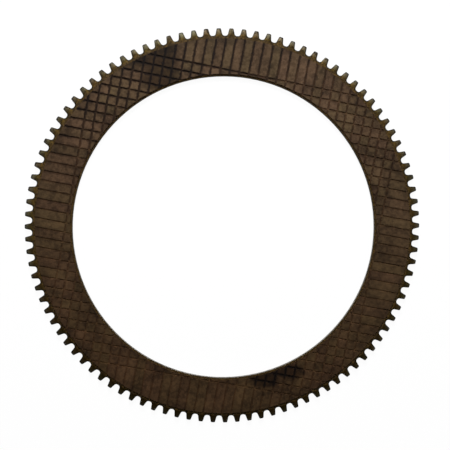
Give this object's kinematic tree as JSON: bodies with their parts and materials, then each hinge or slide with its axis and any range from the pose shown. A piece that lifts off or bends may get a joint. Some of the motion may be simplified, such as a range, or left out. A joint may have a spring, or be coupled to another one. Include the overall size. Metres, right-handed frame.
{
  "type": "clutch disc",
  "caption": "Flat ring-shaped friction disc with gear teeth round its outer rim and cross-grooved friction lining bonded to its faces, for a wet or dry clutch pack.",
  "frame": {"origin": "centre of the bore, half way through the steel core", "axes": "+Z along the disc's axis, out of the front face; +X to the right and +Y up on the front face"},
  "size_m": [0.4024, 0.4024, 0.0052],
  "materials": {
    "core_steel": "oiled plain steel with a thin olive-brown film",
    "friction_lining": "matt dark brown moulded fibre"
  },
  "bodies": {
    "root": {"core_plate": "core_steel", "front_lining": "friction_lining", "back_lining": "friction_lining"}
  },
  "joints": []
}
